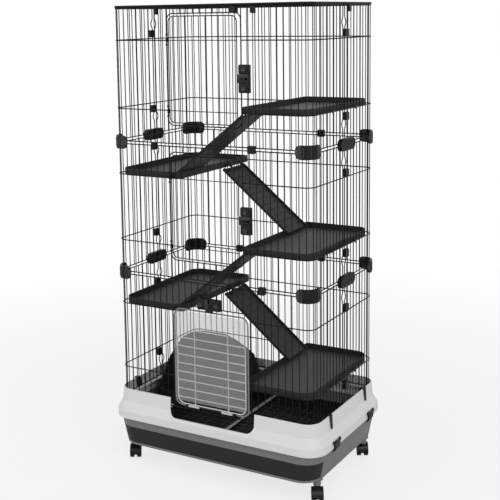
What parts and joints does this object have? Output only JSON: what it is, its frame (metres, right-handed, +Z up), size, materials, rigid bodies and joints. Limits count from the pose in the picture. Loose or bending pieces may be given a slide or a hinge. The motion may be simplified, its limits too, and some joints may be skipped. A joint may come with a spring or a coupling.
{
  "type": "ferret cage",
  "caption": "Tall tiered wire small-animal cage with swinging and drop-down doors, shelves, ramps, litter pan and pull-out drawer, on a moulded base with casters.",
  "frame": {"origin": "middle of the cage's footprint at the floor", "axes": "+Z up, +X to the right seen from the front, -Y towards the front with the doors"},
  "size_m": [0.8304, 0.552, 1.6159],
  "materials": {
    "grey_plastic": "satin",
    "pale_plastic": "satin",
    "drawer_plastic": "satin",
    "grate": "satin",
    "floor_rail": "satin",
    "pan_plastic": "satin",
    "caster_plastic": "satin",
    "caster_tread": "satin",
    "pale_wire": "satin",
    "clear_panel": "satin",
    "black_wire": "satin",
    "shelf_plastic": "satin",
    "ramp_plastic": "satin",
    "knob_plastic": "satin",
    "clip_plastic": "satin"
  },
  "bodies": {
    "cage": {"base_shell": "grey_plastic", "base_surround": "pale_plastic", "floor_grate_left": "grate", "floor_grate_right": "grate", "floor_rail": "floor_rail", "litter_pan": "pan_plastic", "caster_sockets": "grey_plastic", "catch_brackets": "clip_plastic", "hold_down_wedges": "clip_plastic", "front_shell_low": "black_wire", "front_shell_middle": "black_wire", "front_shell_top": "black_wire", "back_shell_low": "black_wire", "back_shell_middle": "black_wire", "back_shell_top": "black_wire", "roof_panel": "black_wire", "roof_clips": "clip_plastic", "corner_clips": "clip_plastic", "side_clips": "clip_plastic", "small_clips": "clip_plastic", "seam_blocks": "clip_plastic", "drop_door_pin": "black_wire", "middle_door_pin": "black_wire", "top_door_pin": "black_wire", "drop_latch_block": "clip_plastic", "middle_latch_block": "clip_plastic", "top_latch_block": "clip_plastic", "shelf_1": "shelf_plastic", "shelf_2": "shelf_plastic", "shelf_3": "shelf_plastic", "shelf_4": "shelf_plastic", "shelf_5": "shelf_plastic"},
    "drawer": {"drawer_tray": "drawer_plastic", "drawer_front": "drawer_plastic"},
    "drop_door": {"drop_door": "pale_wire", "drop_door_panel": "clear_panel"},
    "middle_door": {"middle_door": "black_wire"},
    "top_door": {"top_door": "black_wire"},
    "drop_latch": {"drop_latch_slider": "knob_plastic"},
    "middle_latch": {"middle_latch_slider": "knob_plastic"},
    "top_latch": {"top_latch_slider": "knob_plastic"},
    "fork_front_left": {"caster_fork_front_left": "caster_plastic"},
    "wheels_front_left": {"caster_wheels_front_left": "caster_tread"},
    "catch_front_left": {"base_catch_front_left": "clip_plastic"},
    "fork_front_right": {"caster_fork_front_right": "caster_plastic"},
    "wheels_front_right": {"caster_wheels_front_right": "caster_tread"},
    "catch_front_right": {"base_catch_front_right": "clip_plastic"},
    "fork_back_left": {"caster_fork_back_left": "caster_plastic"},
    "wheels_back_left": {"caster_wheels_back_left": "caster_tread"},
    "catch_back_left": {"base_catch_back_left": "clip_plastic"},
    "fork_back_right": {"caster_fork_back_right": "caster_plastic"},
    "wheels_back_right": {"caster_wheels_back_right": "caster_tread"},
    "catch_back_right": {"base_catch_back_right": "clip_plastic"},
    "ramp_1": {"ramp_1": "ramp_plastic"},
    "ramp_2": {"ramp_2": "ramp_plastic"},
    "ramp_3": {"ramp_3": "ramp_plastic"},
    "ramp_4": {"ramp_4": "ramp_plastic"}
  },
  "joints": [
    {"name": "drawer_slide", "type": "slide", "parent": "cage", "child": "drawer", "axis": [0, -1, 0], "range_m": [0, 0.4]},
    {"name": "middle_door_hinge", "type": "hinge", "parent": "cage", "child": "middle_door", "pos_m": [-0.1471, -0.252, 0.93], "axis": [0, 0, -1], "range_deg": [0, 155]},
    {"name": "top_door_hinge", "type": "hinge", "parent": "cage", "child": "top_door", "pos_m": [-0.1471, -0.252, 1.387], "axis": [0, 0, -1], "range_deg": [0, 155]},
    {"name": "drop_door_hinge", "type": "hinge", "parent": "cage", "child": "drop_door", "pos_m": [0, -0.2605, 0.262], "axis": [1, 0, 0], "range_deg": [0, 105]},
    {"name": "middle_latch_slide", "type": "slide", "parent": "cage", "child": "middle_latch", "axis": [1, 0, 0], "range_m": [-0.008, 0.006]},
    {"name": "top_latch_slide", "type": "slide", "parent": "cage", "child": "top_latch", "axis": [1, 0, 0], "range_m": [-0.008, 0.006]},
    {"name": "drop_latch_slide", "type": "slide", "parent": "cage", "child": "drop_latch", "axis": [0, 0, 1], "range_m": [-0.008, 0.006]},
    {"name": "swivel_front_left", "type": "hinge", "parent": "cage", "child": "fork_front_left", "pos_m": [-0.362, -0.191, 0.06], "axis": [0, 0, 1], "continuous": true},
    {"name": "axle_front_left", "type": "hinge", "parent": "fork_front_left", "child": "wheels_front_left", "pos_m": [-0.356, -0.20139, 0.023], "axis": [0.866, 0.5, 0], "continuous": true},
    {"name": "catch_hinge_front_left", "type": "hinge", "parent": "cage", "child": "catch_front_left", "pos_m": [-0.4122, -0.142, 0.194], "axis": [0, 1, 0], "range_deg": [0, 80]},
    {"name": "swivel_front_right", "type": "hinge", "parent": "cage", "child": "fork_front_right", "pos_m": [0.362, -0.191, 0.06], "axis": [0, 0, 1], "continuous": true},
    {"name": "axle_front_right", "type": "hinge", "parent": "fork_front_right", "child": "wheels_front_right", "pos_m": [0.368, -0.20139, 0.023], "axis": [0.866, 0.5, 0], "continuous": true},
    {"name": "catch_hinge_front_right", "type": "hinge", "parent": "cage", "child": "catch_front_right", "pos_m": [0.4122, -0.142, 0.194], "axis": [0, -1, 0], "range_deg": [0, 80]},
    {"name": "swivel_back_left", "type": "hinge", "parent": "cage", "child": "fork_back_left", "pos_m": [-0.362, 0.191, 0.06], "axis": [0, 0, 1], "continuous": true},
    {"name": "axle_back_left", "type": "hinge", "parent": "fork_back_left", "child": "wheels_back_left", "pos_m": [-0.368, 0.20139, 0.023], "axis": [0.866, 0.5, 0], "continuous": true},
    {"name": "catch_hinge_back_left", "type": "hinge", "parent": "cage", "child": "catch_back_left", "pos_m": [-0.4122, 0.142, 0.194], "axis": [0, 1, 0], "range_deg": [0, 80]},
    {"name": "swivel_back_right", "type": "hinge", "parent": "cage", "child": "fork_back_right", "pos_m": [0.362, 0.191, 0.06], "axis": [0, 0, 1], "continuous": true},
    {"name": "axle_back_right", "type": "hinge", "parent": "fork_back_right", "child": "wheels_back_right", "pos_m": [0.356, 0.20139, 0.023], "axis": [0.866, 0.5, 0], "continuous": true},
    {"name": "catch_hinge_back_right", "type": "hinge", "parent": "cage", "child": "catch_back_right", "pos_m": [0.4122, 0.142, 0.194], "axis": [0, -1, 0], "range_deg": [0, 80]},
    {"name": "ramp_1_hinge", "type": "hinge", "parent": "cage", "child": "ramp_1", "pos_m": [0.111, -0.149, 1.27], "axis": [0, 1, 0], "range_deg": [0, 20]},
    {"name": "ramp_2_hinge", "type": "hinge", "parent": "cage", "child": "ramp_2", "pos_m": [-0.111, 0.123, 1.044], "axis": [0, -1, 0], "range_deg": [0, 20]},
    {"name": "ramp_3_hinge", "type": "hinge", "parent": "cage", "child": "ramp_3", "pos_m": [0.111, -0.149, 0.813], "axis": [0, 1, 0], "range_deg": [0, 20]},
    {"name": "ramp_4_hinge", "type": "hinge", "parent": "cage", "child": "ramp_4", "pos_m": [-0.111, 0.123, 0.587], "axis": [0, -1, 0], "range_deg": [0, 20]}
  ]
}
